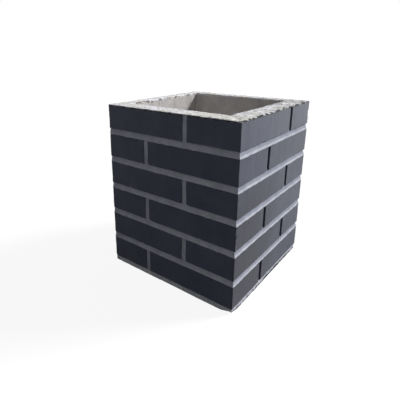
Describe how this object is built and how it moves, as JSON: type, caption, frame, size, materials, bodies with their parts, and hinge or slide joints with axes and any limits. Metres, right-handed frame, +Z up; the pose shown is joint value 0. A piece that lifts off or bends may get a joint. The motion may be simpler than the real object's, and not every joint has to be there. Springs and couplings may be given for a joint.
{
  "type": "chimney duct block",
  "caption": "Square concrete chimney duct block, open top and bottom, clad with dark brick corner slips and recessed grey pointing.",
  "frame": {"origin": "centre of the underside, where the block rests", "axes": "+Z up along the flue, -Y the front face and +X the right face, the two that the picture shows"},
  "size_m": [0.32, 0.32, 0.3775],
  "materials": {
    "duct_concrete": "rough cast",
    "pointing": "struck mortar",
    "fired_slip": "matt, dragged face"
  },
  "bodies": {
    "root": {"duct_core": "duct_concrete", "pointing_mortar": "pointing", "slip_c1_front_right": "fired_slip", "slip_c1_back_right": "fired_slip", "slip_c1_back_left": "fired_slip", "slip_c1_front_left": "fired_slip", "slip_c2_front_right": "fired_slip", "slip_c2_back_right": "fired_slip", "slip_c2_back_left": "fired_slip", "slip_c2_front_left": "fired_slip", "slip_c3_front_right": "fired_slip", "slip_c3_back_right": "fired_slip", "slip_c3_back_left": "fired_slip", "slip_c3_front_left": "fired_slip", "slip_c4_front_right": "fired_slip", "slip_c4_back_right": "fired_slip", "slip_c4_back_left": "fired_slip", "slip_c4_front_left": "fired_slip", "slip_c5_front_right": "fired_slip", "slip_c5_back_right": "fired_slip", "slip_c5_back_left": "fired_slip", "slip_c5_front_left": "fired_slip", "slip_c6_front_right": "fired_slip", "slip_c6_back_right": "fired_slip", "slip_c6_back_left": "fired_slip", "slip_c6_front_left": "fired_slip"}
  },
  "joints": []
}
